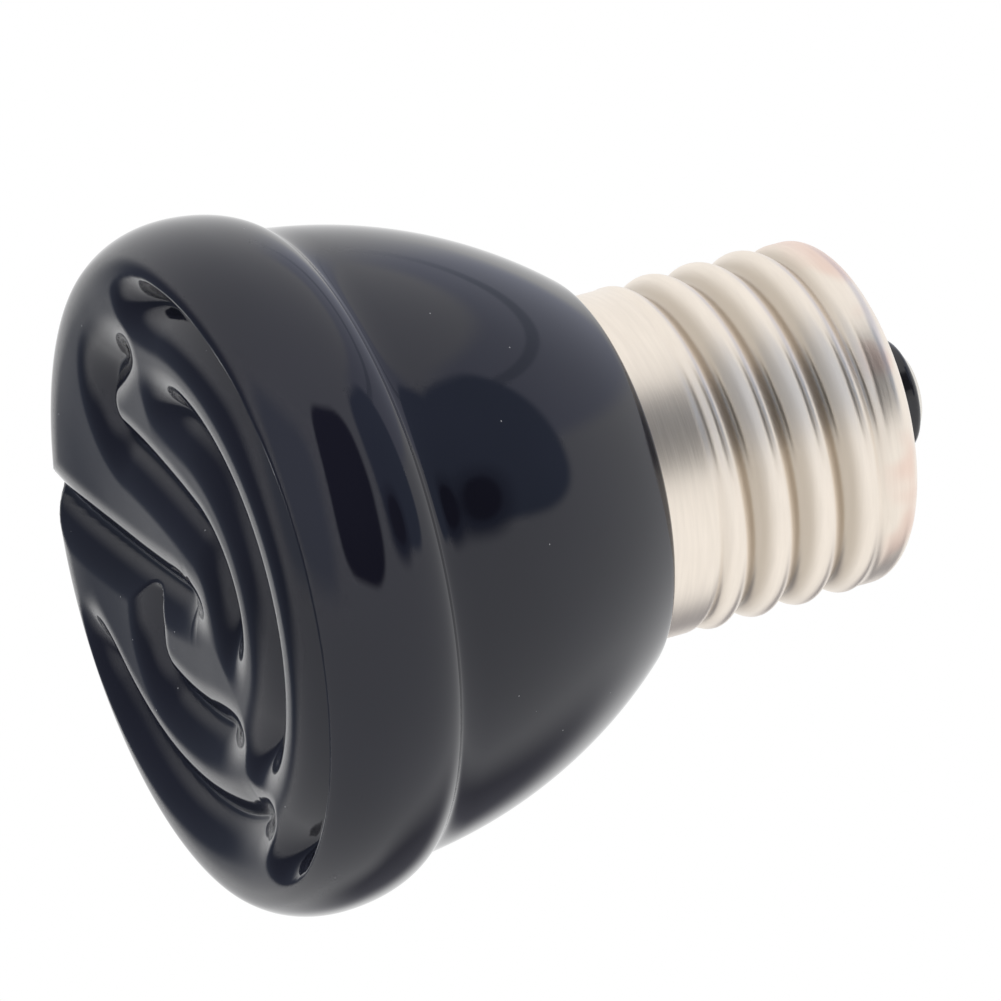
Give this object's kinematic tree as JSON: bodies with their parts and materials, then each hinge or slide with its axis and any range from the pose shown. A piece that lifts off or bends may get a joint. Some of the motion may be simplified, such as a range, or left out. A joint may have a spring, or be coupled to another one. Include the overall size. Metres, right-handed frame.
{
  "type": "ceramic heat emitter",
  "caption": "Small glazed ceramic heat emitter with a swirl-grooved round face, a domed back and a screw cap with a centre contact.",
  "frame": {"origin": "centre of the face's crest plane, at the bottom of the part", "axes": "+Z from the swirl face to the centre contact, along the cap's axis; +X towards the middle of the three half rings of the swirl"},
  "size_m": [0.0516, 0.0516, 0.0589],
  "materials": {
    "glazed_ceramic": "black high-gloss glaze",
    "cement": "matt lamp cement",
    "cap_metal": "bright nickel-plated sheet",
    "black_glass": "glossy black glass",
    "contact_metal": "bright plated metal",
    "lead_wire": "bare wire"
  },
  "bodies": {
    "root": {"ceramic_body": "glazed_ceramic", "cap_cement": "cement", "screw_shell": "cap_metal", "cap_insulator": "black_glass", "centre_contact": "contact_metal", "contact_lead": "lead_wire", "return_lead": "lead_wire"}
  },
  "joints": []
}
